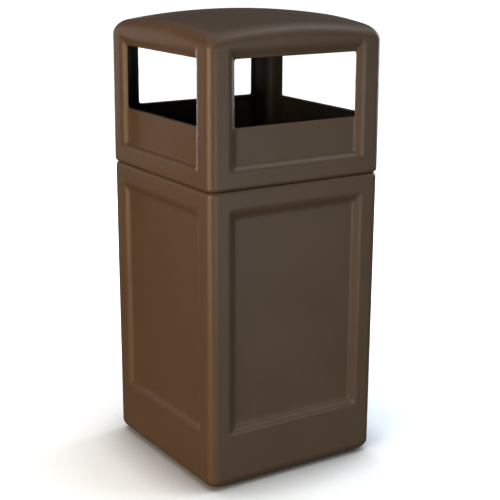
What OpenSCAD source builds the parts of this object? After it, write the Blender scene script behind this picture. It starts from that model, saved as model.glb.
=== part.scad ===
// Square litter bin with a domed hood, open on four sides, and a hidden ashtray.
// Millimetres, +Z up. The origin is on the ground under the middle of the bin.
// The ashtray hangs inside the front (-Y) opening.

/* [Overall] */
// Height from the ground to the crown of the hood
overall_h = 1060; // [1040:5:1080]
// Width and depth of the hood at its lower edge
overall_w = 458; // [454:2:462]
// Height of the joint between container and hood
seam_z = 696; // [690:1:702]
// Radius of the upright corners
corner_r = 20; // [18:1:24]
// Wall thickness of the container and the hood
wall = 4.5; // [4:0.5:5]

/* [Container] */
// Width at the base
base_w = 453; // [448:1:455]
// Width just under the joint
rim_w = 456; // [452:1:458]
// Radius of the edge round the base
base_edge_r = 25; // [20:1:28]
// Radius of the edge round the rim
rim_edge_r = 10; // [6:1:12]
// Lowest edge of the sunk side panels
panel_lo = 135; // [110:1:140]
// Highest edge of the sunk side panels
panel_hi = 650; // [640:1:655]
// Inside width of the mouth in the rim flange
mouth_w = 419; // [417:1:421]

/* [Hood] */
// Width just under the crown
crown_w = 456; // [452:1:457]
// Radius of the big sphere that the crown is part of
crown_r = 1380; // [1200:10:1600]
// Radius of the edge round the crown
crown_edge_r = 27; // [24:1:36]
// Lowest edge of the sunk side panels
recess_lo = 738; // [732:1:744]
// Highest edge of the sunk side panels
recess_hi = 997; // [992:1:998]
// Width of the sunk side panels on hood and container
recess_w = 350; // [344:2:354]
// How deep the side panels are sunk
recess_d = 10.5; // [9:0.5:12]
// Height of the sills of the four openings
sill_z = 829; // [824:1:836]
// Height of the top of the four openings
lintel_z = 975; // [968:1:977]
// Width of the four openings
opening_w = 320; // [310:1:321]
// Depth of the spigot that drops into the container's mouth
spigot_h = 18; // [12:1:24]

/* [Liner] */
// Width of the liner under its rim
liner_w = 384; // [378:2:388]
// Width of the liner at its floor
liner_base_w = 356; // [348:2:364]
// Height of the liner's rim above the ground
liner_top_z = 674; // [640:2:674]
// Diameter of the rod of the liner's handles
bail_d = 5; // [4:0.5:6]
// Distance from the handles' pivots to their grips
bail_drop = 50; // [40:1:60]

/* [Ashtray] */
// Width of the ash pan
pan_w = 214; // [180:2:230]
// Depth of the ash pan from front to back
pan_d = 59; // [50:1:64]
// Height of the ash pan's walls
pan_h = 39; // [30:1:42]
// Height of the frame that carries the pan
frame_z = 806; // [800:1:808]
// Slots in the stubbing grid
slot_count = 8; // [6:1:10]

/* [Hidden] */

brown = [0.25, 0.18, 0.13];
rubber = [0.08, 0.08, 0.08];
steel = [0.70, 0.70, 0.72];
liner_grey = [0.16, 0.16, 0.17];

facets = 48;            // for turned parts
edge_steps = [0:15:90]; // angles at which a rounded edge is sampled
corner_steps = 8;       // flats in each upright corner
crown_steps = 8;        // patches across the crown
overlap = 0.5;          // how far one solid reaches into the next where they are joined

// Container
ground_gap = 3;         // the shell stands this far off the ground on its feet
floor_t = 5;
rim_flange_t = 6;
panel_bevel = [13.5, 11, 17];  // width of a panel's slopes: sides, bottom, top
mouth_r = 16;
foot_at = 170;
foot_r = 19;
foot_h = 12;
foot_boss_r = 25;
foot_boss_top = 24;
foot_screw_r = 2.5;
anchor_at = 110;
anchor_r = 6.5;
anchor_boss_r = 16;
anchor_boss_top = 12;

// Hood
hood_bevel = [15.3, 9, 20];
hood_edge_r = 8;
spigot_t = 3;
spigot_gap = 1;
opening_r = 5;
lip_d = 8;              // how far the sill's lip reaches inwards
lip_t = 6;
hood_draft = atan((overall_w - crown_w) / 2 / (recess_hi - seam_z));
shell_draft = atan((rim_w - base_w) / 2 / seam_z);

// Ashtray, measured from the hood's front wall inwards
bracket_t = 1.5;
bracket_w = 236;
bracket_lo = 776;
bracket_hi = 812;
bracket_y = -204;       // inner face of the bracket's back plate
frame_depth = 70;
frame_border = 5;
pan_t = 1;
pan_y = bracket_y + frame_border + pan_d / 2 + 0.5;
pan_flare = 6;
pan_rim = 5;
screw_z = 790;
screw_x = [-95, -35, 35, 95];
screw_r = 1.75;
screw_head_r = 4.2;
screw_head_h = 2.6;
screw_len = 9;
screw_boss_r = 6;
screw_boss_l = 10;
grid_t = 1.2;
grid_z = 795;
grid_w = 200;
grid_d = 48;
slot_w = 9;
slot_l = 36;
grid_leg_x = 96;
grid_leg_d = 28;

// Liner
liner_floor_z = foot_boss_top;
liner_t = 3;
liner_corner_r = 8;
liner_edge_r = 5;       // round the floor
liner_rim = 6;
pivot_x = 178;
pivot_z = 650;
bail_half = 54;         // from the middle to the leg's centreline
bail_bend_r = 8;
bail_pin_l = 7;
pin_clear = 0.08;
snug = 0.05;            // radial gap round fixed screws, rivets and rods
lug_y = bail_half + bail_bend_r + 1;
lug_t = 2;
lug_size = 22;
lug_ear_r = 6.5;
lug_back_x = 188;
rivet_r = 2;
rivet_head_r = 3.5;
rivet_head_h = 1.4;
rivet_dy = 13;          // from the clip's ear
rivet_dz = 7;           // above and below the pivot
grip_r = 7;
grip_l = 76;

// Points round a rectangle with round corners, at height z
function ring(half_w, half_d, r, z) = [
    for (q = [0:3], j = [0:corner_steps])
        let (a = 90 * (q + j / corner_steps),
             sx = q == 0 || q == 3 ? 1 : -1,
             sy = q < 2 ? 1 : -1)
        [sx * (half_w - r) + r * cos(a), sy * (half_d - r) + r * sin(a), z]
];

function square_ring(half, r, z) = ring(half, half, r, z);

// Rings of the rounded edge below a wall of half width half
function lower_edge(half, r, edge, z) = [
    for (a = edge_steps) each square_ring(half - edge * (1 - sin(a)), r, z + edge * (1 - cos(a)))
];

// Rings of the rounded edge above a wall of half width half
function upper_edge(half, r, edge, z) = [
    for (a = edge_steps) each square_ring(half - edge * (1 - cos(a)), r - edge * (1 - cos(a)),
                                          z - edge * (1 - sin(a)))
];

// Points of the crown of a hood whose skin lies t inside the outer one. The crown is part of a
// big sphere, and its edge is rounded down to the walls.
function crown_points(t) =
    let (half = crown_w / 2 - t, edge = crown_edge_r - t, flat = half - edge)
    concat(
        [for (i = [0:crown_steps], k = [0:crown_steps])
            let (x = flat * (2 * i / crown_steps - 1), y = flat * (2 * k / crown_steps - 1))
            if (abs(x) < flat || abs(y) < flat) [x, y, crown_z(x, y) - t]],
        [for (a = edge_steps, p = square_ring(half - edge * (1 - cos(a)), corner_r - t, 0))
            [p.x, p.y, crown_z(p.x, p.y) - t - edge * (1 - sin(a))]]);

function crown_z(x, y) = overall_h - (x * x + y * y) / (2 * crown_r);

// Convex solid through a list of points
module solid_through(points) {
    hull() polyhedron(points, [[for (i = [0:len(points) - 1]) i]]);
}

// Upright prism with a square, round-cornered plan
module square_prism(width, r, z0, z1) {
    translate([0, 0, z0]) linear_extrude(z1 - z0) rounded_rect(width, width, r);
}

module rounded_rect(w, h, r) {
    square([w - 2 * r, h], center = true);
    square([w, h - 2 * r], center = true);
    for (sx = [-1, 1], sy = [-1, 1])
        translate([sx * (w / 2 - r), sy * (h / 2 - r)]) circle(r, $fn = facets);
}

// How far a slope of width s over the panel's depth shifts sideways when the skin is t thick
function slope_shift(s, t) = t * norm([s, recess_d]) / recess_d;

// A sunk panel with sloping sides, cut into the front face at y = 0, going in along +Y.
// t grows it by the skin's thickness, for the same panel seen from inside.
module sunk_panel(w, lo, hi, bevel, t = 0) {
    deep = recess_d + t;
    out = 12;
    x_out = w / 2 + slope_shift(bevel[0], t);
    z_lo = lo - slope_shift(bevel[1], t);
    z_hi = hi + slope_shift(bevel[2], t);
    intersection() {
        translate([0, 0, lo - 40]) linear_extrude(hi - lo + 80) polygon([
            for (s = [-1, 1], y = s < 0 ? [-out, deep] : [deep, -out])
                [s * (x_out - bevel[0] * y / recess_d), y]
        ]);
        rotate([90, 0, 90]) translate([0, 0, -w]) linear_extrude(2 * w) polygon([
            [-out, z_lo - bevel[1] * out / recess_d], [deep, z_lo + bevel[1] * deep / recess_d],
            [deep, z_hi - bevel[2] * deep / recess_d], [-out, z_hi + bevel[2] * out / recess_d]
        ]);
    }
}

// Sunk panels on all four sides of a wall that is half wide at height z and leans by draft
module sunk_panels(half, z, draft, lo, hi, bevel, t = 0) {
    for (q = [0:3])
        rotate(90 * q) translate([0, -half, z]) rotate([-draft, 0, 0]) translate([0, 0, -z])
            sunk_panel(recess_w, lo, hi, bevel, t);
}

module at_feet() {
    for (sx = [-1, 1], sy = [-1, 1]) translate([sx * foot_at, sy * foot_at, 0]) children();
}

module at_anchors() {
    for (sx = [-1, 1], sy = [-1, 1]) translate([sx * anchor_at, sy * anchor_at, 0]) children();
}

module container_outside() {
    solid_through(concat(
        lower_edge(base_w / 2, corner_r, base_edge_r, ground_gap),
        upper_edge(rim_w / 2, corner_r, rim_edge_r, seam_z)));
}

module container_cavity() {
    solid_through(concat(
        lower_edge(base_w / 2 - wall, corner_r - wall, base_edge_r - wall, ground_gap + floor_t),
        square_ring(rim_w / 2 - wall, corner_r - wall, seam_z - rim_flange_t)));
}

module container_shell() {
    color(brown) difference() {
        union() {
            difference() {
                container_outside();
                sunk_panels(base_w / 2, 0, -shell_draft, panel_lo, panel_hi, panel_bevel);
                difference() {
                    container_cavity();
                    sunk_panels(base_w / 2, 0, -shell_draft, panel_lo, panel_hi, panel_bevel, wall);
                }
            }
            at_feet() translate([0, 0, ground_gap + 1])
                cylinder(h = foot_boss_top - ground_gap - 1, r = foot_boss_r, $fn = facets);
            at_anchors() translate([0, 0, ground_gap + 1])
                cylinder(h = anchor_boss_top - ground_gap - 1, r = anchor_boss_r, $fn = facets);
        }
        square_prism(mouth_w, mouth_r, seam_z - rim_flange_t - 1, seam_z + 1);
        at_feet() {
            translate([0, 0, -1]) cylinder(h = foot_h + 1, r = foot_r + 0.3, $fn = facets);
            cylinder(h = foot_boss_top - 2, r = foot_screw_r + 0.1, $fn = facets);
        }
        at_anchors() cylinder(h = anchor_boss_top + 1, r = anchor_r, $fn = facets);
    }
}

module foot(sx, sy) {
    color(rubber) translate([sx * foot_at, sy * foot_at, 0]) difference() {
        rotate_extrude($fn = facets) polygon([
            [0, 0], [foot_r - 3, 0], [foot_r, 3], [foot_r, foot_h], [0, foot_h]
        ]);
        translate([0, 0, -1]) cylinder(h = 6, r = 7, $fn = facets);
        cylinder(h = foot_h + 1, r = foot_screw_r + 0.3, $fn = facets);
    }
}

module foot_screws() {
    color(steel) at_feet() {
        translate([0, 0, 1.5]) cylinder(h = 3.5, r = 5.5, $fn = facets);
        translate([0, 0, 4]) cylinder(h = foot_boss_top - 8, r = foot_screw_r, $fn = facets);
    }
}

module hood_openings() {
    for (q = [0, 1])
        rotate(90 * q) rotate([90, 0, 0]) translate([0, (sill_z + lintel_z) / 2, 0])
            linear_extrude(overall_w + 20, center = true)
                rounded_rect(opening_w, lintel_z - sill_z, opening_r);
}

// Stiffening lips along the inside of the four sills
module sill_lips() {
    lip_y = -(overall_w / 2 - recess_d - wall - 1);
    for (q = [0:3])
        rotate(90 * q) translate([0, lip_y, sill_z - lip_t / 2]) rotate([90, 0, 90])
            linear_extrude(opening_w + 10, center = true) {
                translate([lip_d / 2 - 2.5, 0]) square([lip_d - 1, lip_t], center = true);
                translate([lip_d - 3, 0]) circle(lip_t / 2, $fn = facets);
            }
}

module bracket_bosses() {
    for (x = screw_x)
        translate([x, bracket_y - bracket_t, screw_z]) rotate([90, 0, 0])
            cylinder(h = screw_boss_l, r = screw_boss_r, $fn = facets);
}

module dome_hood() {
    flange_z = seam_z + wall;
    spigot_w = mouth_w - 2 * spigot_gap;
    color(brown) difference() {
        union() {
            difference() {
                solid_through(concat(
                    lower_edge(overall_w / 2, corner_r, hood_edge_r, seam_z), crown_points(0)));
                sunk_panels(overall_w / 2, seam_z, hood_draft, recess_lo, recess_hi, hood_bevel);
                difference() {
                    solid_through(concat(
                        square_ring(overall_w / 2 - wall, corner_r - wall, flange_z),
                        crown_points(wall)));
                    sunk_panels(overall_w / 2, seam_z, hood_draft, recess_lo, recess_hi,
                                hood_bevel, wall);
                }
                hood_openings();
            }
            square_prism(spigot_w, mouth_r - spigot_gap, seam_z - spigot_h, flange_z - 1);
            sill_lips();
            bracket_bosses();
        }
        square_prism(spigot_w - 2 * spigot_t, mouth_r - spigot_gap - spigot_t,
                     seam_z - spigot_h - 1, flange_z + 1);
        for (x = screw_x)
            translate([x, bracket_y - bracket_t + 1, screw_z]) rotate([90, 0, 0])
                cylinder(h = screw_len + 1, r = screw_r + snug, $fn = facets);
    }
}

module ash_bracket() {
    front_y = bracket_y + frame_depth;
    color(steel) difference() {
        union() {
            translate([-bracket_w / 2, bracket_y - bracket_t, bracket_lo])
                cube([bracket_w, bracket_t, bracket_hi - bracket_lo]);
            translate([-bracket_w / 2, bracket_y - bracket_t, frame_z - bracket_t])
                cube([bracket_w, frame_depth + bracket_t, bracket_t]);
            translate([-bracket_w / 2, front_y - bracket_t, frame_z - 12])
                cube([bracket_w, bracket_t, 12]);
            for (s = [-1, 1])
                translate([s * (bracket_w - bracket_t) / 2, 0, 0]) rotate([90, 0, 90])
                    linear_extrude(bracket_t, center = true) polygon([
                        [bracket_y - bracket_t, bracket_lo], [bracket_y - bracket_t, frame_z],
                        [front_y, frame_z], [front_y, frame_z - 12], [bracket_y + 12, bracket_lo]
                    ]);
        }
        translate([0, pan_y, frame_z]) linear_extrude(10, center = true)
            rounded_rect(pan_w + 1, pan_d + 1, 10);
        for (x = screw_x)
            translate([x, bracket_y + 1, screw_z]) rotate([90, 0, 0])
                cylinder(h = bracket_t + 2, r = screw_r + 0.3, $fn = facets);
    }
}

module bracket_screws() {
    color(steel) for (x = screw_x) translate([x, bracket_y, screw_z]) {
        rotate([-90, 0, 0]) cylinder(h = screw_head_h, r = screw_head_r, $fn = facets);
        rotate([90, 0, 0]) cylinder(h = bracket_t + screw_len - 1, r = screw_r, $fn = facets);
    }
}

// Box with round corners that is wider at the top by flare on every side
module flared_box(w, d, r, z0, z1, flare) {
    solid_through(concat(ring(w / 2 - flare, d / 2 - flare, r, z0), ring(w / 2, d / 2, r, z1)));
}

module ash_pan() {
    floor_z = frame_z - pan_h;
    color(steel) translate([0, pan_y, 0]) difference() {
        union() {
            flared_box(pan_w, pan_d, 9, floor_z, frame_z + pan_t, pan_flare);
            translate([0, 0, frame_z]) linear_extrude(pan_t)
                rounded_rect(pan_w + 2 * pan_rim, pan_d + 2 * (pan_rim - 1), 12);
        }
        flared_box(pan_w - 2 * pan_t, pan_d - 2 * pan_t, 8, floor_z + pan_t,
                   frame_z + 2 * pan_t, pan_flare);
    }
}

module stub_grid() {
    leg_h = grid_z - (frame_z - pan_h + pan_t);
    pitch = grid_w / (slot_count + 1);
    color(steel) translate([0, pan_y, grid_z]) {
        linear_extrude(grid_t) difference() {
            rounded_rect(grid_w, grid_d, 6);
            for (i = [0:slot_count - 1])
                translate([(i - (slot_count - 1) / 2) * pitch, 0]) {
                    square([slot_w, slot_l - slot_w], center = true);
                    for (end = [-1, 1])
                        translate([0, end * (slot_l - slot_w) / 2]) circle(slot_w / 2, $fn = facets);
                }
        }
        for (s = [-1, 1])
            translate([s * grid_leg_x - grid_t / 2, -grid_leg_d / 2, -leg_h])
                cube([grid_t, grid_leg_d, leg_h + overlap]);
    }
}

function liner_half(z) =
    (liner_base_w + (liner_w - liner_base_w) * (z - liner_floor_z) / (liner_top_z - liner_floor_z)) / 2;

module liner_tub() {
    color(liner_grey) difference() {
        union() {
            solid_through(concat(
                lower_edge(liner_base_w / 2, liner_corner_r, liner_edge_r, liner_floor_z),
                square_ring(liner_w / 2, liner_corner_r, liner_top_z)));
            square_prism(liner_w + 2 * liner_rim, liner_corner_r + liner_rim,
                         liner_top_z - liner_t, liner_top_z);
        }
        solid_through(concat(
            lower_edge(liner_base_w / 2 - liner_t, liner_corner_r - liner_t,
                       liner_edge_r - liner_t, liner_floor_z + liner_t),
            square_ring(liner_w / 2 - liner_t, liner_corner_r - liner_t, liner_top_z + overlap)));
        rivet_holes();
    }
}

// The rivets' places, with +Z pointing out through the liner's wall
module at_rivets() {
    for (sx = [-1, 1], sy = [-1, 1], sz = [-1, 1])
        translate([sx * lug_back_x, sy * (lug_y + rivet_dy), pivot_z + sz * rivet_dz])
            rotate([0, sx * 90, 0]) children();
}

module rivet_holes() {
    at_rivets() cylinder(h = 30, r = rivet_r + snug, center = true, $fn = facets);
}

// Angle clip that carries one end of a handle: sx is the side, sy the end
module liner_lug(sx, sy) {
    ear = lug_back_x - pivot_x;
    color(steel) difference() {
        scale([sx, sy, 1]) {
            translate([lug_back_x - lug_t, lug_y, pivot_z - lug_size / 2])
                cube([lug_t, lug_size, lug_size]);
            translate([pivot_x, lug_y + lug_t, pivot_z]) rotate([90, 0, 0])
                linear_extrude(lug_t) {
                    circle(lug_ear_r, $fn = facets);
                    translate([0, -lug_ear_r]) square([ear, 2 * lug_ear_r]);
                }
        }
        translate([sx * pivot_x, sy * lug_y, pivot_z]) rotate([90, 0, 0])
            cylinder(h = 4 * lug_t, r = bail_d / 2 + pin_clear, center = true, $fn = facets);
        rivet_holes();
    }
}

module lug_rivets() {
    skin_x = liner_half(pivot_z + rivet_dz + rivet_head_r) - lug_back_x;
    color(steel) at_rivets() {
        translate([0, 0, -lug_t - rivet_head_h]) cylinder(h = rivet_head_h, r = rivet_head_r, $fn = facets);
        translate([0, 0, -lug_t - overlap])
            cylinder(h = skin_x + lug_t + 2 * overlap, r = rivet_r, $fn = facets);
        translate([0, 0, skin_x]) cylinder(h = rivet_head_h, r = rivet_head_r, $fn = facets);
    }
}

// One bend of a handle: q picks the quarter
module bail_bend(q) {
    rotate([90, 0, 90]) rotate(90 * q) rotate_extrude(angle = 90, $fn = facets)
        translate([bail_bend_r, 0]) circle(bail_d / 2, $fn = facets);
}

// Wire handle on side sx, hanging down from its pivots inside the liner
module bail(sx) {
    r = bail_d / 2;
    bar_y = bail_half - bail_bend_r;
    color(steel) translate([sx * pivot_x, 0, pivot_z]) {
        translate([0, bar_y, -bail_drop]) rotate([90, 0, 0]) cylinder(h = 2 * bar_y, r = r, $fn = facets);
        for (sy = [-1, 1]) {
            translate([0, sy * bar_y, bail_bend_r - bail_drop]) bail_bend(sy > 0 ? 3 : 2);
            translate([0, sy * bail_half, bail_bend_r - bail_drop])
                cylinder(h = bail_drop - 2 * bail_bend_r, r = r, $fn = facets);
            translate([0, sy * (bail_half + bail_bend_r), -bail_bend_r]) bail_bend(sy > 0 ? 1 : 0);
            translate([0, sy * (bail_half + bail_bend_r), 0]) rotate([-sy * 90, 0, 0])
                cylinder(h = bail_pin_l, r = r, $fn = facets);
        }
    }
}

module grip(sx) {
    color(rubber) translate([sx * pivot_x, 0, pivot_z - bail_drop]) rotate([90, 0, 0])
        difference() {
            cylinder(h = grip_l, r = grip_r, center = true, $fn = facets);
            cylinder(h = grip_l + 2, r = bail_d / 2 + snug, center = true, $fn = facets);
        }
}

container_shell();
foot(-1, -1);  // foot_front_left
foot(1, -1);  // foot_front_right
foot(-1, 1);  // foot_back_left
foot(1, 1);  // foot_back_right
foot_screws();
dome_hood();
ash_bracket();
bracket_screws();
ash_pan();
stub_grid();
liner_tub();
liner_lug(-1, -1);  // liner_lug_left_front
liner_lug(-1, 1);  // liner_lug_left_back
liner_lug(1, -1);  // liner_lug_right_front
liner_lug(1, 1);  // liner_lug_right_back
lug_rivets();
bail(-1);  // bail_left
bail(1);  // bail_right
grip(-1);  // grip_left
grip(1);  // grip_right
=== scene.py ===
"""Square litter bin with a domed, four-way hood: looks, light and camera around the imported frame."""
import bpy
import math
import numpy as np
from mathutils import Matrix, Vector


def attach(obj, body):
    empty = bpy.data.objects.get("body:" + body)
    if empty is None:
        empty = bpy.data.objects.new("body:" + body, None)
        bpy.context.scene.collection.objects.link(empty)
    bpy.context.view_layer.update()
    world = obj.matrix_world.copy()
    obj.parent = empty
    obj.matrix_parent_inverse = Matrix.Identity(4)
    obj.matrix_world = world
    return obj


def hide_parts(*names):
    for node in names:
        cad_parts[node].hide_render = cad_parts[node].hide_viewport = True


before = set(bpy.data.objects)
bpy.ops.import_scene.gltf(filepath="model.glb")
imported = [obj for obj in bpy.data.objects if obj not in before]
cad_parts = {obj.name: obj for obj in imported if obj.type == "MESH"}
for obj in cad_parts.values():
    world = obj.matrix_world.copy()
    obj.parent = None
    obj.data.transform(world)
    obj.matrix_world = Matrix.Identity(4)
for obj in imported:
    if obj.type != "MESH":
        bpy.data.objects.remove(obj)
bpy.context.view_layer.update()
MM = 0.001


# ---------------------------------------------------------------- shapes from distance fields
# Lengths are in millimetres until a mesh is made. A field is negative inside the solid.

def both(a, b, r):
    """Intersection of two solids whose common edge is rounded to radius r."""
    m = np.maximum(a, b)
    return np.minimum(m, -r) + np.hypot(np.maximum(a + r, 0), np.maximum(b + r, 0))


def either(a, b, r):
    """Union of two solids with a fillet of radius r between them."""
    return -both(-a, -b, r)


def cut(a, b, r):
    """Solid a without b, the new edge rounded to radius r."""
    return both(a, -b, r)


def between(value, low, high):
    return np.maximum(low - value, value - high)


def rounded_square(x, y, half_x, half_y, r):
    dx, dy = np.abs(x) - (half_x - r), np.abs(y) - (half_y - r)
    return np.hypot(np.maximum(dx, 0), np.maximum(dy, 0)) + np.minimum(np.maximum(dx, dy), 0) - r


def grid_lines(*runs):
    """Sorted grid coordinates from (start, end, step) runs."""
    out = [np.linspace(a, b, max(2, int(round((b - a) / s)) + 1)) for a, b, s in runs]
    return np.unique(np.round(np.concatenate(out), 4))


def both_ways(*runs):
    half = grid_lines(*runs)
    return np.unique(np.concatenate([-half, half]))


def net(field, xs, ys, zs, settle=6):
    """Vertices and quads of the surface where field is zero, on an uneven grid."""
    grid = np.meshgrid(xs, ys, zs, indexing="ij")
    values = field(*grid)
    inside = values < 0
    corners = [(i, j, k) for i in (0, 1) for j in (0, 1) for k in (0, 1)]
    n = [s - 1 for s in inside.shape]

    def window(a, c):
        return a[c[0]:c[0] + n[0], c[1]:c[1] + n[1], c[2]:c[2] + n[2]]

    count = sum(window(inside, c).astype(np.int8) for c in corners)
    active = (count > 0) & (count < 8)
    index = -np.ones(active.shape, np.int64)
    cells = np.argwhere(active)
    index[tuple(cells.T)] = np.arange(len(cells))
    total, hits = np.zeros((len(cells), 3)), np.zeros(len(cells))
    axes = (xs, ys, zs)
    for c in corners:
        for ax in range(3):
            if c[ax]:
                continue
            d = list(c)
            d[ax] = 1
            a = values[tuple((cells + c).T)]
            b = values[tuple((cells + d).T)]
            cross = (a < 0) != (b < 0)
            t = np.where(cross, a / np.where(cross, a - b, 1), 0)
            point = np.stack([axes[k][cells[:, k] + c[k]] for k in range(3)], 1)
            far = axes[ax][cells[:, ax] + 1]
            point[:, ax] += t * (far - point[:, ax])
            total += point * cross[:, None]
            hits += cross
    verts = total / hits[:, None]
    low = np.stack([axes[k][cells[:, k]] for k in range(3)], 1)
    high = np.stack([axes[k][cells[:, k] + 1] for k in range(3)], 1)
    verts = settle_on(field, verts, low, high, settle)

    quads = []
    for ax in range(3):
        u, v = (ax + 1) % 3, (ax + 2) % 3
        first = [slice(1, -1)] * 3
        first[ax] = slice(0, -1)
        second = list(first)
        second[ax] = slice(1, None)
        a, b = inside[tuple(first)], inside[tuple(second)]
        for sign in (True, False):
            base = np.argwhere((a != b) & (a == sign))
            base[:, u] += 1
            base[:, v] += 1
            around = []
            for du, dv in ((-1, -1), (0, -1), (0, 0), (-1, 0)):
                cell = base.copy()
                cell[:, u] += du
                cell[:, v] += dv
                around.append(index[tuple(cell.T)])
            quads.append(np.stack(around if sign else around[::-1], 1))
    return verts, np.concatenate(quads)


def settle_on(field, verts, low, high, rounds):
    """Newton steps that bring vertices onto the surface, each kept in its own cell."""
    step = 0.05
    slack = 0.1 * (high - low)
    for _ in range(rounds):
        x, y, z = verts.T
        value = field(x, y, z)
        grad = np.stack([
            field(x + step, y, z) - field(x - step, y, z),
            field(x, y + step, z) - field(x, y - step, z),
            field(x, y, z + step) - field(x, y, z - step)], 1) / (2 * step)
        size = np.maximum((grad ** 2).sum(1), 0.05)
        verts = verts - grad * (value / size)[:, None]
        verts = np.clip(verts, low - slack, high + slack)
    return verts


# ---------------------------------------------------------------- turned, swept and lofted shapes

def turned(profile, segments=48):
    """Closed profile of (radius, height) points turned about +Z into a ring-shaped solid."""
    n = len(profile)
    angles = np.arange(segments) * 2 * math.pi / segments
    verts = [(r * math.cos(a), r * math.sin(a), z) for a in angles for r, z in profile]
    faces = [(i * n + j, (i + 1) % segments * n + j,
              (i + 1) % segments * n + (j + 1) % n, i * n + (j + 1) % n)
             for i in range(segments) for j in range(n)]
    return np.array(verts), faces


def lofted(rings):
    """Closed solid through rings of equally many points, capped at both ends."""
    n = len(rings[0])
    faces = [(i * n + j, i * n + (j + 1) % n, (i + 1) * n + (j + 1) % n, (i + 1) * n + j)
             for i in range(len(rings) - 1) for j in range(n)]
    faces.append(tuple(range(n))[::-1])
    faces.append(tuple((len(rings) - 1) * n + j for j in range(n)))
    return np.concatenate(rings), faces


def outline(half_x, half_y, r, z, steps=10):
    """Points round a rectangle with round corners, at height z."""
    points = []
    for q, (sx, sy) in enumerate(((1, 1), (-1, 1), (-1, -1), (1, -1))):
        for j in range(steps + 1):
            a = math.pi / 2 * (q + j / steps)
            points.append((sx * (half_x - r) + r * math.cos(a), sy * (half_y - r) + r * math.sin(a), z))
    return np.array(points)


def rod(path, r, segments=24):
    """Round rod of radius r along a path in the plane x = 0."""
    path = np.array(path, float)
    ahead = np.gradient(path, axis=0)
    ahead /= np.linalg.norm(ahead, axis=1)[:, None]
    side = np.array([1.0, 0, 0])
    rings = []
    for p, t in zip(path, ahead):
        up = np.cross(t, side)
        a = np.arange(segments) * 2 * math.pi / segments
        rings.append(p + r * (np.cos(a)[:, None] * side + np.sin(a)[:, None] * up))
    return lofted(rings)


def placed(shape, spots):
    """Copies of a shape at (3x3 matrix, place) spots, as one shape."""
    verts, faces = [], []
    count = 0
    for turn, place in spots:
        v = np.asarray(shape[0]) @ np.array(turn, float).T + np.array(place, float)
        mirrored = np.linalg.det(np.array(turn, float)) < 0
        verts.append(v)
        faces += [tuple(int(i) + count for i in (f[::-1] if mirrored else f)) for f in shape[1]]
        count += len(v)
    return np.concatenate(verts), faces


def make_mesh(name, shape, material, body, hides=(), sharp=None, inside=None):
    """One piece of the object; inside is (material, field) for the faces where field is below 0."""
    verts, faces = shape
    mesh = bpy.data.meshes.new(name)
    mesh.from_pydata([tuple(v) for v in np.asarray(verts) * MM], [],
                     [tuple(int(i) for i in f) for f in faces])
    mesh.validate()
    mesh.shade_smooth()
    if sharp:
        mesh.set_sharp_from_angle(angle=math.radians(sharp))
    mesh.materials.append(material)
    if inside:
        mesh.materials.append(inside[0])
        middle = np.empty(len(mesh.polygons) * 3)
        mesh.polygons.foreach_get("center", middle)
        within = inside[1](*(middle.reshape(-1, 3).T / MM)) < 0
        mesh.polygons.foreach_set("material_index", within.astype(np.int32))
    obj = bpy.data.objects.new(name, mesh)
    bpy.context.scene.collection.objects.link(obj)
    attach(obj, body)
    if hides:
        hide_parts(*hides)
    return obj


# ---------------------------------------------------------------- the two big mouldings

WALL = 4.5
CORNER_R = 20.0
SEAM_Z = 696.0
CROWN_Z = 1060.0
CROWN_SPHERE = 1380.0
CROWN_EDGE = 27.0
RECESS = 10.5
RECESS_HALF = 175.0
BASE_EDGE = 25.0
PANEL_Z = (135, 650)
SURROUND_Z = (738, 997)
MOUTH_HALF, MOUTH_R = 209.5, 16.0
FLOOR_T = 4.0
FOOT_AT, FOOT_BOSS_R, FOOT_BOSS_TOP = 170.0, 25.0, 24.0
POCKET_R, POCKET_TOP = 19.3, 12.0
ANCHOR_AT, ANCHOR_BOSS_R, ANCHOR_BOSS_TOP, ANCHOR_HOLE_R = 110.0, 16.0, 12.0, 6.5
SPIGOT_FOOT = 678.0
OPENING_Z, OPENING_HALF, OPENING_HALF_H, OPENING_R = 902.0, 160.0, 73.0, 5.0


def sunk_panels(x, y, z, half, low, high, slopes, soften):
    """The four sunk panels of a wall that is half wide, as solids to be cut away."""
    side, foot, head = slopes
    fields = []
    for across, out in ((x, np.abs(y)), (y, np.abs(x))):
        depth = half - out
        back = depth - RECESS

        def slope(position, width):
            return (position + depth * width / RECESS) * RECESS / math.hypot(width, RECESS)

        walls = both(slope(np.abs(across) - RECESS_HALF, side),
                     both(slope(low - z, foot), slope(z - high, head), 4), 4)
        fields.append(both(back, walls, soften))
    return np.minimum(*fields)


def inset(x, y, half):
    """How far a point is inside a square whose corners keep their radius as it shrinks."""
    ax, ay = np.abs(x), np.abs(y)
    w = np.abs(ax - ay)
    corner = half - CORNER_R - (ax + ay) / 2 + np.sqrt(np.maximum(2 * CORNER_R ** 2 - w ** 2, 0)) / 2
    return np.where(w < CORNER_R, corner, half - np.maximum(ax, ay))


def container_skin(x, y, z):
    half = 226.5 + 1.5 * (z / SEAM_Z)
    plan = rounded_square(x, y, half, half, CORNER_R)
    solid = np.maximum(both(plan, z - SEAM_Z, 10), both(-inset(x, y, half), 3 - z, BASE_EDGE))
    return cut(solid, sunk_panels(x, y, z, half, *PANEL_Z, (13.5, 11, 17), 3), 4)


def at_corners(x, y, distance):
    return np.hypot(np.abs(x) - distance, np.abs(y) - distance)


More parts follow.
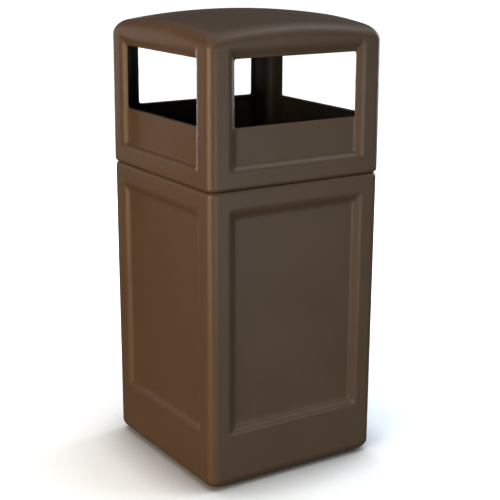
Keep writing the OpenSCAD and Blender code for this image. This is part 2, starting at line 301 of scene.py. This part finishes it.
def container_field(x, y, z):
    skin = container_skin(x, y, z)
    hollow = both(both(skin + WALL, 8 - z, 3), z - (SEAM_Z - 6), 1)
    mouth = both(rounded_square(x, y, MOUTH_HALF, MOUTH_HALF, MOUTH_R), SEAM_Z - 7 - z, 0.5)
    shell = cut(cut(skin, hollow, 0.5), mouth, 1.5)
    boss = both(at_corners(x, y, FOOT_AT) - FOOT_BOSS_R, between(z, FLOOR_T, FOOT_BOSS_TOP), 1.5)
    shell = either(shell, boss, 2)
    pocket = np.maximum(at_corners(x, y, FOOT_AT) - POCKET_R, z - POCKET_TOP)
    shell = cut(shell, pocket, 0.8)
    boss = both(at_corners(x, y, ANCHOR_AT) - ANCHOR_BOSS_R, between(z, FLOOR_T, ANCHOR_BOSS_TOP), 1.5)
    return cut(either(shell, boss, 2), at_corners(x, y, ANCHOR_AT) - ANCHOR_HOLE_R, 0.8)


def hood_skin(x, y, z):
    half = 229 - (z - SEAM_Z) / 301
    dome = CROWN_Z - (x ** 2 + y ** 2) / (2 * CROWN_SPHERE)
    solid = both(both(-inset(x, y, half), z - dome, CROWN_EDGE), SEAM_Z - z, 8)
    return cut(solid, sunk_panels(x, y, z, half, *SURROUND_Z, (15.3, 9, 20), 3), 4)


def hood_field(x, y, z):
    skin = hood_skin(x, y, z)
    hollow = both(skin + WALL, SEAM_Z + WALL - z, 2)
    shell = cut(skin, hollow, 0.5)
    for across, out in ((x, np.abs(y)), (y, np.abs(x))):
        lip = both(np.hypot(np.maximum(208 - out, 0), z - 826) - 3,
                   np.maximum(out - 217, np.abs(across) - 165), 0.5)
        shell = either(shell, lip, 1.5)
    throat = both(rounded_square(x, y, 205.5, 205.5, 12), z - 703, 0.5)
    shell = cut(shell, throat, 1.5)
    ring = rounded_square(x, y, MOUTH_HALF - 2.5, MOUTH_HALF - 2.5, MOUTH_R - 2.5)
    spigot = both(np.abs(ring) - 1.5, between(z, SPIGOT_FOOT, SPIGOT_FOOT + 22), 1.2)
    shell = either(shell, spigot, 1)
    for across, out in ((x, y), (y, x)):
        opening = rounded_square(across, z - OPENING_Z, OPENING_HALF, OPENING_HALF_H, OPENING_R)
        window = both(opening, 150 - np.abs(out), 0)
        shell = cut(shell, window, 1.6)
    return shell


# ---------------------------------------------------------------- liner, handles and ashtray

LINER_FLOOR, LINER_TOP = 24.0, 674.0
LINER_T, LINER_R, LINER_EDGE, LINER_BEAD = 3.0, 8.0, 5.0, 195.0
PIVOT_X, PIVOT_Z = 178.0, 650.0
LUG_BACK = 188.0
PAN_Y = -169.0
FRAME_Z = 806.0
BRACKET_Y = -204.0
SCREW_X = (-95, -35, 35, 95)
SCREW_Z = 790.0


def liner_half(z):
    return 178 + 14 * (z - LINER_FLOOR) / (LINER_TOP - LINER_FLOOR)


def liner_field(x, y, z):
    half = liner_half(z)
    plan = rounded_square(x, y, half, half, LINER_R)
    tub = both(both(plan, LINER_FLOOR - z, LINER_EDGE), z - LINER_TOP + 1, 0.5)
    hollow = both(plan + LINER_T, LINER_FLOOR + LINER_T - z, LINER_EDGE - LINER_T)
    shell = np.maximum(tub, -hollow)
    middle = rounded_square(x, y, LINER_BEAD, LINER_BEAD, LINER_R + LINER_T)
    bead = np.hypot(middle, z - LINER_TOP + 3) - 3
    return either(shell, bead, 1.5)


def lug_field(x, y, z):
    """Right back clip: a plate against the liner's wall and an ear that carries the handle."""
    back = rounded_square(y - 74, z - PIVOT_Z, 11, 11, 2.5)
    plate = both(back, between(x, LUG_BACK - 2, LUG_BACK), 0.4)
    round_end = np.hypot(np.minimum(x - PIVOT_X, 0), z - PIVOT_Z) - 6.5
    ear = both(np.maximum(round_end, x - LUG_BACK), between(y, 63, 65), 0.4)
    return cut(either(plate, ear, 1), np.hypot(x - PIVOT_X, z - PIVOT_Z) - 2.58, 0.3)


def bracket_field(x, y, z):
    """Folded sheet: a frame with a back plate, two sides and a front flange."""
    block = both(both(np.abs(x) - 118, between(y, BRACKET_Y - 1.5, BRACKET_Y + 70), 2), z - FRAME_Z, 2)
    lower = np.where(y < -192, 776.0, 776 + 18 * (y + 192) / 58)
    tray = np.maximum(np.maximum(block, -(block + 1.5)), lower - z)
    plate = both(rounded_square(x, z - 794, 118, 18, 3), np.abs(y - BRACKET_Y + 0.75) - 0.75, 0.4)
    pan_hole = rounded_square(x, y - PAN_Y, 107.5, 30, 10)
    window = both(pan_hole, np.abs(z - FRAME_Z) - 4, 0)
    return cut(either(tray, plate, 0.3), window, 0.3)


def grid_field(x, y, z):
    """Stubbing grid: a slotted plate on two folded legs."""
    y = y - PAN_Y
    plate = both(rounded_square(x, y, 100, 24, 6), np.abs(z - 795.6) - 0.6, 0.3)
    pitch = 200 / 9
    for i in range(8):
        slot = rounded_square(x - (i - 3.5) * pitch, y, 4.5, 18, 4.5)
        plate = cut(plate, slot, 0.3)
    legs = both(rounded_square(y, z - 782, 14, 14, 1), np.abs(np.abs(x) - 96) - 0.6, 0.3)
    return either(plate, legs, 0.5)


def screw(head_r, head_h, shank_r, shank_l):
    """Screw along -Z whose head's face is at z = 0, with a six-sided socket."""
    def field(x, y, z):
        rim = np.hypot(x, y)
        head = both(rim - head_r, between(z, -head_h, 0), 0.35 * head_h)
        key = np.maximum(np.abs(x), np.abs(x) / 2 + np.abs(y) * 0.866) - 0.46 * head_r
        head = cut(head, np.maximum(key, -0.62 * head_h - z), 0.15)
        shank = both(rim - shank_r, between(z, -head_h - shank_l, -head_h / 2), 0.4)
        return np.minimum(head, shank)

    edge = head_r + 0.5
    across = np.linspace(-edge, edge, 25)
    return net(field, across, across, grid_lines((-head_h - shank_l - 0.5, -head_h - 0.3, 1.5),
                                                 (-head_h - 0.3, 0.4, 0.3)))


def container_pieces():
    flat = both_ways((0, 98, 14), (98, 122, 2.4), (122, 150, 7), (150, 200, 2.4), (200, 231, 2.0))
    return net(container_field, flat, flat, grid_lines(
        (0, 32, 2.3), (32, 118, 12), (118, 150, 2.2), (150, 622, 22), (622, 699, 2.0)))


def hood_pieces():
    flat = both_ways((0, 148, 13), (148, 232, 2.0))
    return net(hood_field, flat, flat, grid_lines(
        (675, 712, 1.8), (712, 730, 5), (730, 756, 2), (756, 800, 9), (800, 838, 2),
        (838, 962, 12), (962, 1062, 2.1)))


def boss_shape():
    return turned([(1.8, 0), (6, 0), (6, 9.6), (5.6, 10), (1.8, 10)], 32)


def foot_shape():
    return turned([(2.8, 12), (2.8, 5), (7, 5), (7, 0.6), (7.6, 0), (9.6, 0), (10, 0.8), (12.6, 0.8),
                   (13, 0), (15.4, 0), (16, 0.25), (18.6, 2.7), (19, 3.4), (19, 6.6), (18.5, 7),
                   (18.5, 8), (19, 8.4), (19, 11.5), (18.5, 12)])


def rivet_shape(wall):
    """Rivet through a 2 mm clip and the liner, its middle at the clip's back."""
    head = [(3.5 * math.cos(a), 1.4 * math.sin(a)) for a in np.radians([0, 20, 40, 60, 78])]
    inner = [(r, -2 - h) for r, h in head]
    outer = [(r, wall + h) for r, h in head[::-1]]
    profile = [(0.05, -3.4)] + inner[::-1] + [(2, -2), (2, wall)] + outer[::-1] + [(0.05, wall + 1.4)]
    return turned(profile, 28)


def pan_shape():
    """One-piece drawn pan: half width, height and corner radius down the outside and up the inside."""
    rings = []
    for half, z, r in ((94, 767, 3), (98.8, 767.2, 6), (100.4, 768, 7.6), (101.1, 769.4, 8.4),
                       (103.6, 785, 9), (106.6, 804.6, 9), (107.2, 805.7, 9.6), (109, 806, 11),
                       (111.3, 806, 12), (111.9, 806.25, 12.3), (112, 806.5, 12.4), (111.9, 806.8, 12.3),
                       (111.3, 807, 12), (108.4, 807, 10), (106.6, 806.8, 9), (105.8, 806.1, 8.4),
                       (102.6, 785, 8), (100.3, 769.9, 7.8), (99.6, 768.8, 7), (98.2, 768.2, 6),
                       (93.8, 768, 3)):
        rings.append(outline(half, half - 77.5 - (1 if z > 805.9 and half > 108.9 else 0), r, z)
                     + np.array([0, PAN_Y, 0]))
    return lofted(rings)


def bail_shape():
    turn = np.radians(np.linspace(0, 90, 9))
    half = [(-69, 0), (-65, 0), (-62.5, 0)]
    half += [(-62 + 8 * math.sin(a), -8 + 8 * math.cos(a)) for a in turn]
    half += [(-54, -16), (-54, -34)]
    half += [(-46 - 8 * math.cos(a), -42 - 8 * math.sin(a)) for a in turn]
    half += [(-40, -50), (-20, -50)]
    full = half + [(0, -50)] + [(-y, z) for y, z in half[::-1]]
    return rod([(0, y, z) for y, z in full], 2.5)


def grip_shape():
    """Ribbed sleeve about +Z, its middle at 0."""
    outer = []
    for z in np.linspace(-37, 37, 75):
        groove = 0.5 - 0.5 * math.cos(2 * math.pi * z / 6.166)
        outer.append((6.2 + 0.8 * min(1, 1.6 * groove) if abs(z) < 34 else 7.0, float(z)))
    return turned([(2.55, -38), (6, -38), (6.7, -37.7)] + outer + [(6.7, 37.7), (6, 38), (2.55, 38)], 40)


# ---------------------------------------------------------------- materials

def new_material(name):
    mat = bpy.data.materials.new(name)
    mat.use_nodes = True
    tree = mat.node_tree
    return mat, tree, tree.nodes["Principled BSDF"]


def add(tree, kind, **inputs):
    node = tree.nodes.new(kind)
    for key, value in inputs.items():
        if key in node.inputs:
            node.inputs[key].default_value = value
        else:
            setattr(node, key, value)
    return node


def noise(tree, coords, scale, detail=3.0, roughness=0.55, stretch=None):
    if stretch:
        squeeze = add(tree, "ShaderNodeMapping")
        squeeze.inputs["Scale"].default_value = stretch
        tree.links.new(coords, squeeze.inputs["Vector"])
        coords = squeeze.outputs["Vector"]
    node = add(tree, "ShaderNodeTexNoise", Scale=scale, Detail=detail, Roughness=roughness)
    tree.links.new(coords, node.inputs["Vector"])
    return node.outputs["Fac"]


def ramp(tree, value, low, high, to_low=0.0, to_high=1.0):
    node = add(tree, "ShaderNodeMapRange")
    for key, number in (("From Min", low), ("From Max", high), ("To Min", to_low), ("To Max", to_high)):
        node.inputs[key].default_value = number
    tree.links.new(value, node.inputs["Value"])
    return node.outputs["Result"]


def blend(tree, factor, a, b):
    """Mix of two colours, each a socket or an (r, g, b)."""
    node = add(tree, "ShaderNodeMix", data_type="RGBA")
    tree.links.new(factor, node.inputs["Factor"])
    for key, colour in (("A", a), ("B", b)):
        socket = [s for s in node.inputs if s.name == key and s.type == "RGBA"][0]
        if isinstance(colour, tuple):
            socket.default_value = (*colour, 1)
        else:
            tree.links.new(colour, socket)
    return [s for s in node.outputs if s.type == "RGBA"][0]


def bumps(tree, shader, layers):
    """Layers of (height socket, strength, distance) added to the shader's normal."""
    normal = None
    for height, strength, distance in layers:
        node = add(tree, "ShaderNodeBump", Strength=strength, Distance=distance)
        tree.links.new(height, node.inputs["Height"])
        if normal:
            tree.links.new(normal, node.inputs["Normal"])
        normal = node.outputs["Normal"]
    tree.links.new(normal, shader.inputs["Normal"])


def moulded_plastic(name, dark, light, scuff, roughness, grain, specular=0.5):
    """Matt moulded polyethylene: cloudy colour, fine grain, faint rubbed streaks."""
    mat, tree, shader = new_material(name)
    coords = add(tree, "ShaderNodeTexCoord").outputs["Object"]
    cloud = noise(tree, coords, 6.0, 5.0)
    colour = blend(tree, ramp(tree, cloud, 0.3, 0.7), dark, light)
    streak = noise(tree, coords, 9.0, 6.0, 0.7, (6.0, 6.0, 1.0))
    rubbed = ramp(tree, streak, 0.60, 0.86, 0.0, 0.35)
    colour = blend(tree, rubbed, colour, scuff)
    tree.links.new(colour, shader.inputs["Base Color"])
    speck = noise(tree, coords, 160.0, 3.0, 0.6)
    tree.links.new(ramp(tree, speck, 0.25, 0.75, roughness - 0.07, roughness + 0.09),
                   shader.inputs["Roughness"])
    peel = noise(tree, coords, 520.0, 2.0, 0.5)
    wave = noise(tree, coords, 26.0, 2.0, 0.4)
    bumps(tree, shader, [(wave, 0.12, 0.0012), (peel, grain, 0.0005)])
    shader.inputs["IOR"].default_value = 1.49
    shader.inputs["Specular IOR Level"].default_value = specular
    return mat


def metal(name, dark, light, roughness, brush, stain=None):
    """Sheet or wire: brushed along x where brush says so, with faint blotches or ash stains."""
    mat, tree, shader = new_material(name)
    coords = add(tree, "ShaderNodeTexCoord").outputs["Object"]
    lines = noise(tree, coords, 60.0, 4.0, 0.6, brush)
    cloud = noise(tree, coords, 22.0, 4.0)
    colour = blend(tree, ramp(tree, cloud, 0.3, 0.7), dark, light)
    if stain:
        patch = noise(tree, coords, 34.0, 5.0, 0.7)
        colour = blend(tree, ramp(tree, patch, 0.52, 0.74, 0.0, 0.8), colour, stain)
    tree.links.new(colour, shader.inputs["Base Color"])
    tree.links.new(ramp(tree, lines, 0.3, 0.7, roughness - 0.1, roughness + 0.12),
                   shader.inputs["Roughness"])
    bumps(tree, shader, [(lines, 0.12, 0.0002), (cloud, 0.08, 0.0006)])
    shader.inputs["Metallic"].default_value = 1.0
    return mat


def soft_black(name, dark, dust, roughness, scale):
    """Rubber or grip plastic: near black, stippled, with dust in cloudy patches."""
    mat, tree, shader = new_material(name)
    coords = add(tree, "ShaderNodeTexCoord").outputs["Object"]
    cloud = noise(tree, coords, 40.0, 5.0, 0.65)
    tree.links.new(blend(tree, ramp(tree, cloud, 0.45, 0.8, 0.0, 0.6), dark, dust),
                   shader.inputs["Base Color"])
    stipple = noise(tree, coords, scale, 2.0, 0.5)
    tree.links.new(ramp(tree, stipple, 0.3, 0.7, roughness - 0.08, roughness + 0.1),
                   shader.inputs["Roughness"])
    bumps(tree, shader, [(stipple, 0.3, 0.0003)])
    return mat


brown = moulded_plastic("brown_plastic", (0.0560, 0.0330, 0.0190), (0.0640, 0.0385, 0.0225),
                        (0.085, 0.056, 0.037), 0.46, 0.22, 0.30)
# Painted shade: a near-black copy of the brown plastic for the inner skin, standing in for the dark
# inside; the real inside is the same brown.
painted_shade_inside = moulded_plastic("brown_plastic_painted_shade_inside", (0.0080, 0.0064, 0.0052), (0.0110, 0.0086, 0.0068),
                               (0.022, 0.017, 0.013), 0.62, 0.3, 0.2)
grey = moulded_plastic("grey_plastic", (0.030, 0.031, 0.033), (0.040, 0.041, 0.043),
                       (0.075, 0.076, 0.078), 0.5, 0.3)
stainless = metal("stainless_sheet", (0.50, 0.49, 0.47), (0.62, 0.61, 0.59), 0.34, (1.0, 40.0, 40.0),
                  (0.17, 0.16, 0.15))
fixings = metal("steel_fixings", (0.46, 0.46, 0.45), (0.58, 0.57, 0.55), 0.36, (1.0, 1.0, 6.0))
plated = metal("plated_steel", (0.48, 0.49, 0.50), (0.62, 0.62, 0.61), 0.30, (4.0, 1.0, 1.0))
rubber = soft_black("black_rubber", (0.014, 0.014, 0.014), (0.055, 0.052, 0.048), 0.72, 700.0)
grip_black = soft_black("black_grip", (0.017, 0.017, 0.018), (0.040, 0.040, 0.040), 0.55, 1100.0)

LOOKS = {
    "brown_plastic": (brown, ["container_shell", "dome_hood"]),
    "black_rubber": (rubber, ["foot_front_left", "foot_front_right",
                              "foot_back_left", "foot_back_right"]),
    "steel_fixings": (fixings, ["foot_screws", "bracket_screws", "lug_rivets"]),
    "stainless_sheet": (stainless, ["ash_bracket", "ash_pan", "stub_grid"]),
    "plated_steel": (plated, ["liner_lug_left_front", "liner_lug_left_back", "liner_lug_right_front",
                              "liner_lug_right_back", "bail_left", "bail_right"]),
    "grey_plastic": (grey, ["liner_tub"]),
    "black_grip": (grip_black, ["grip_left", "grip_right"]),
}
for material, names in LOOKS.values():
    for name in names:
        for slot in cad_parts[name].material_slots:
            slot.material = material


# ---------------------------------------------------------------- the pieces

UPRIGHT = np.eye(3)
HEAD_DOWN = np.diag([1, -1, -1])
HEAD_TO_BACK = [[1, 0, 0], [0, 0, 1], [0, -1, 0]]     # local +Z becomes +Y
ALONG_Y = HEAD_TO_BACK
FOUR = [(sx, sy) for sx in (-1, 1) for sy in (-1, 1)]


def side_name(sx, sy=None):
    return ("left" if sx < 0 else "right") + ("" if sy is None else "_front" if sy < 0 else "_back")


# Each shell's inner skin takes the near-black copy, painted shade for the dark inside.
make_mesh("container", container_pieces(), brown, "body", ["container_shell"],
          inside=(painted_shade_inside, lambda x, y, z: container_skin(x, y, z) + 0.7 * WALL))
make_mesh("hood", hood_pieces(), brown, "hood", ["dome_hood"],
          inside=(painted_shade_inside, lambda x, y, z: hood_skin(x, y, z) + 0.7 * WALL))
make_mesh("hood_bosses", placed(boss_shape(), [(HEAD_TO_BACK, (x, -215.5, SCREW_Z)) for x in SCREW_X]),
          brown, "hood", sharp=40)

for sx, sy in FOUR:
    name = "foot_" + ("front" if sy < 0 else "back") + "_" + side_name(sx)
    make_mesh(name + "_pad", placed(foot_shape(), [(UPRIGHT, (sx * FOOT_AT, sy * FOOT_AT, 0))]),
              rubber, "body", [name], sharp=50)
make_mesh("foot_screw_set", placed(screw(5.5, 3.5, 2.5, 15), [
    (HEAD_DOWN, (sx * FOOT_AT, sy * FOOT_AT, 1.5)) for sx, sy in FOUR]),
    fixings, "body", ["foot_screws"])

make_mesh("bracket_sheet", net(
    bracket_field, both_ways((0, 96, 12), (96, 119, 0.75)),
    grid_lines((-207, -202, 0.5), (-202, -188, 1), (-188, -150, 5), (-150, -137, 1), (-137, -133, 0.5)),
    grid_lines((775, 803, 2.8), (803, 807, 0.5), (807, 813, 0.75))),
    stainless, "hood", ["ash_bracket"])
make_mesh("bracket_screw_set", placed(screw(4.2, 2.6, 1.75, 8), [
    (HEAD_TO_BACK, (x, BRACKET_Y + 2.6, SCREW_Z)) for x in SCREW_X]),
    fixings, "hood", ["bracket_screws"])
make_mesh("pan_sheet", pan_shape(), stainless, "pan", ["ash_pan"], sharp=60)
make_mesh("grid_sheet", net(
    grid_field, both_ways((0, 94, 1.5), (94, 98, 0.4), (98, 101, 1)),
    grid_lines((PAN_Y - 25, PAN_Y + 25, 1.5)),
    grid_lines((767, 770, 0.6), (770, 793, 4), (793, 797, 0.35))),
    stainless, "grid", ["stub_grid"])

liner_flat = both_ways((0, 140, 14), (140, 200, 1.5))
make_mesh("liner", net(liner_field, liner_flat, liner_flat, grid_lines(
    (22, 44, 2), (44, 650, 24), (650, 664, 3), (664, 676, 1))),
    grey, "liner", ["liner_tub"])
lug = net(lug_field, np.linspace(170.6, 189, 27), np.linspace(62, 86, 33), np.linspace(638, 662, 33))
for sx, sy in FOUR:
    make_mesh("clip_" + side_name(sx, sy), placed(lug, [(np.diag([sx, sy, 1]), (0, 0, 0))]),
              plated, "liner", ["liner_lug_" + side_name(sx, sy)])
wall_from_clip = float(liner_half(PIVOT_Z + 10.5) - LUG_BACK)
make_mesh("clip_rivets", placed(rivet_shape(wall_from_clip), [
    ([[0, 0, sx], [0, 1, 0], [-sx, 0, 0]], (sx * LUG_BACK, sy * 76, PIVOT_Z + dz))
    for sx, sy in FOUR for dz in (-7, 7)]), fixings, "liner", ["lug_rivets"])
for sx in (-1, 1):
    make_mesh("handle_rod_" + side_name(sx),
              placed(bail_shape(), [(UPRIGHT, (sx * PIVOT_X, 0, PIVOT_Z))]),
              plated, "handle_" + side_name(sx), ["bail_" + side_name(sx)])
    make_mesh("handle_sleeve_" + side_name(sx), placed(grip_shape(), [
        (ALONG_Y, (sx * PIVOT_X, 0, PIVOT_Z - 50))]),
        grip_black, "handle_" + side_name(sx), ["grip_" + side_name(sx)], sharp=50)


# ---------------------------------------------------------------- floor, light and camera

FLOOR_GLOW = 0.65
SHADOW_REACH = 0.17
CAMERA_TURN = (-32.6848, 15.2071, 0.2333)
CAMERA_PLACE = (-1.49505, -2.36141, 1.24895)
FOCAL_PIXELS, FRAME_PIXELS, SENSOR = 1201.5, 500, 36


def staged(name, points, faces, colour, glow, fade=None):
    """A stage piece that the camera sees, and that throws no light or reflection on the object.
    With fade, (near, far, glow near), the glow grows from near to far, which paints shade on the piece
    round the object, and an ambient-occlusion mask paints a contact shadow where the object stands close
    to it."""
    mesh = bpy.data.meshes.new(name)
    mesh.from_pydata(points, [], faces)
    obj = bpy.data.objects.new(name, mesh)
    bpy.context.scene.collection.objects.link(obj)
    mat, tree, shader = new_material(name + "_white")
    shader.inputs["Base Color"].default_value = (*colour, 1)
    shader.inputs["Roughness"].default_value = 0.95
    shader.inputs["Specular IOR Level"].default_value = 0.0
    shader.inputs["Emission Color"].default_value = (1, 1, 1, 1)
    shader.inputs["Emission Strength"].default_value = glow
    if fade:
        coords = add(tree, "ShaderNodeTexCoord").outputs["Object"]
        reach = add(tree, "ShaderNodeVectorMath", operation="LENGTH")
        tree.links.new(coords, reach.inputs[0])
        # Painted shade: the floor glows less near the object.
        tree.links.new(ramp(tree, reach.outputs["Value"], *fade, glow), shader.inputs["Emission Strength"])
        # Painted contact shadow: ambient occlusion darkens the floor's colour near the object.
        hollow = add(tree, "ShaderNodeAmbientOcclusion", samples=8)
        hollow.inputs["Distance"].default_value = SHADOW_REACH
        near = ramp(tree, hollow.outputs["AO"], 0.38, 0.87, 0.34)
        tree.links.new(blend(tree, near, (0.0, 0.0, 0.0), colour), shader.inputs["Base Color"])
    mesh.materials.append(mat)
    obj.visible_diffuse = False
    obj.visible_glossy = False
    obj.visible_shadow = False


def floor_and_backdrop():
    """Pale floor of square tiles, and a white dome far behind it."""
    n, tile = 12, 5.0
    points = [((i - n / 2) * tile, (j - n / 2) * tile, 0.0) for j in range(n + 1) for i in range(n + 1)]
    faces = [(j * (n + 1) + i, j * (n + 1) + i + 1, (j + 1) * (n + 1) + i + 1, (j + 1) * (n + 1) + i)
             for j in range(n) for i in range(n)]
    # The fade paints shade and a contact shadow on the floor round the object.
    staged("floor", points, faces, (0.87, 0.925, 1.0), FLOOR_GLOW, (0.3, 0.95, 0.0))
    ring, tiers, r = 48, 8, 28
    points = [(r * math.cos(t) * math.cos(a), r * math.cos(t) * math.sin(a), r * math.sin(t) - 0.5)
              for t in np.radians(np.linspace(0, 85, tiers + 1))
              for a in np.radians(np.arange(ring) * 360 / ring)]
    faces = [(k * ring + i, (k + 1) * ring + i,
              (k + 1) * ring + (i + 1) % ring, k * ring + (i + 1) % ring)
             for k in range(tiers) for i in range(ring)]
    staged("backdrop", points, faces, (0.0, 0.0, 0.0), 1.0)


def sky(low, high, start, end):
    """Soft overhead light: radiance low near the horizon, high above."""
    world = bpy.data.worlds.new("studio")
    bpy.context.scene.world = world
    world.use_nodes = True
    tree = world.node_tree
    coords = add(tree, "ShaderNodeTexCoord").outputs["Generated"]
    split = add(tree, "ShaderNodeSeparateXYZ")
    tree.links.new(coords, split.inputs["Vector"])
    background = tree.nodes["Background"]
    background.inputs["Color"].default_value = (1, 1, 1, 1)
    tree.links.new(ramp(tree, split.outputs["Z"], start, end, low, high), background.inputs["Strength"])


def area_light(name, place, target, size, power, colour=(1, 1, 1)):
    data = bpy.data.lights.new(name, "AREA")
    data.shape = "RECTANGLE"
    data.size, data.size_y = size
    data.energy = power
    data.color = colour
    lamp = bpy.data.objects.new(name, data)
    lamp.location = place
    lamp.rotation_euler = (Vector(target) - Vector(place)).to_track_quat("-Z", "Y").to_euler()
    bpy.context.scene.collection.objects.link(lamp)


def camera():
    azimuth, elevation, roll = map(math.radians, CAMERA_TURN)
    back = Vector((math.sin(azimuth) * math.cos(elevation),
                   -math.cos(azimuth) * math.cos(elevation), math.sin(elevation)))
    data = bpy.data.cameras.new("camera")
    data.sensor_width = SENSOR
    data.lens = SENSOR * FOCAL_PIXELS / FRAME_PIXELS
    cam = bpy.data.objects.new("camera", data)
    turn = (-back).to_track_quat("-Z", "Y").to_matrix().to_4x4()
    cam.matrix_world = Matrix.Translation(Vector(CAMERA_PLACE)) @ turn @ Matrix.Rotation(roll, 4, "Z")
    bpy.context.scene.collection.objects.link(cam)
    bpy.context.scene.camera = cam


floor_and_backdrop()
sky(0.07, 0.92, 0.55, 0.85)
area_light("key", (-3.5, -1.1, 0.85), (0, 0, 0.45), (2.2, 1.8), 206, (1.0, 0.775, 0.52))
area_light("fill", (0.5, -3.9, 0.25), (0, 0, 0.12), (2.4, 1.0), 74, (0.83, 0.97, 1.0))
area_light("top", (1.9, -1.1, 3.6), (0, 0, 0.9), (1.4, 1.4), 39, (0.82, 0.96, 1.0))
area_light("side", (3.6, 0.6, 1.3), (0, 0, 0.55), (2.0, 2.0), 90)
area_light("back", (0.3, 3.5, 0.7), (0, 0, 0.5), (2.2, 1.2), 75)
camera()
bpy.context.scene.view_settings.view_transform = "Standard"
